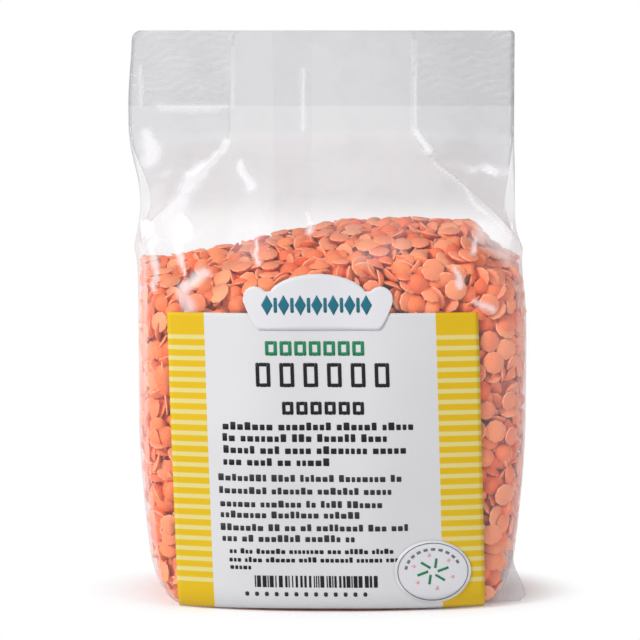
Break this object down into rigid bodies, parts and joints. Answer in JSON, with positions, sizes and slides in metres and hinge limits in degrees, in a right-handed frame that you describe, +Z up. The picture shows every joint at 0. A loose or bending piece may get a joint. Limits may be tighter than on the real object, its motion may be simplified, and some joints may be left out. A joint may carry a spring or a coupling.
{
  "type": "bag of lentils",
  "caption": "Clear side-gusset film bag of split red lentils with a flat sealed top, a striped paper label on the front, and a flat base it stands on.",
  "frame": {"origin": "middle of the flat base that the bag stands on", "axes": "+Z up to the sealed top, -Y towards the labelled front, +X to the right of someone facing the label"},
  "size_m": [0.0855, 0.0465, 0.1213],
  "materials": {
    "lentils": "dry matt split pulses seen through clear film",
    "film": "clear glossy film",
    "label_paper": "white paper with yellow striped sides",
    "badge_paper": "plain white paper",
    "sticker_paper": "pale paper"
  },
  "bodies": {
    "root": {"bag": "lentils", "label": "label_paper", "badge": "badge_paper", "sticker": "sticker_paper"}
  },
  "joints": []
}
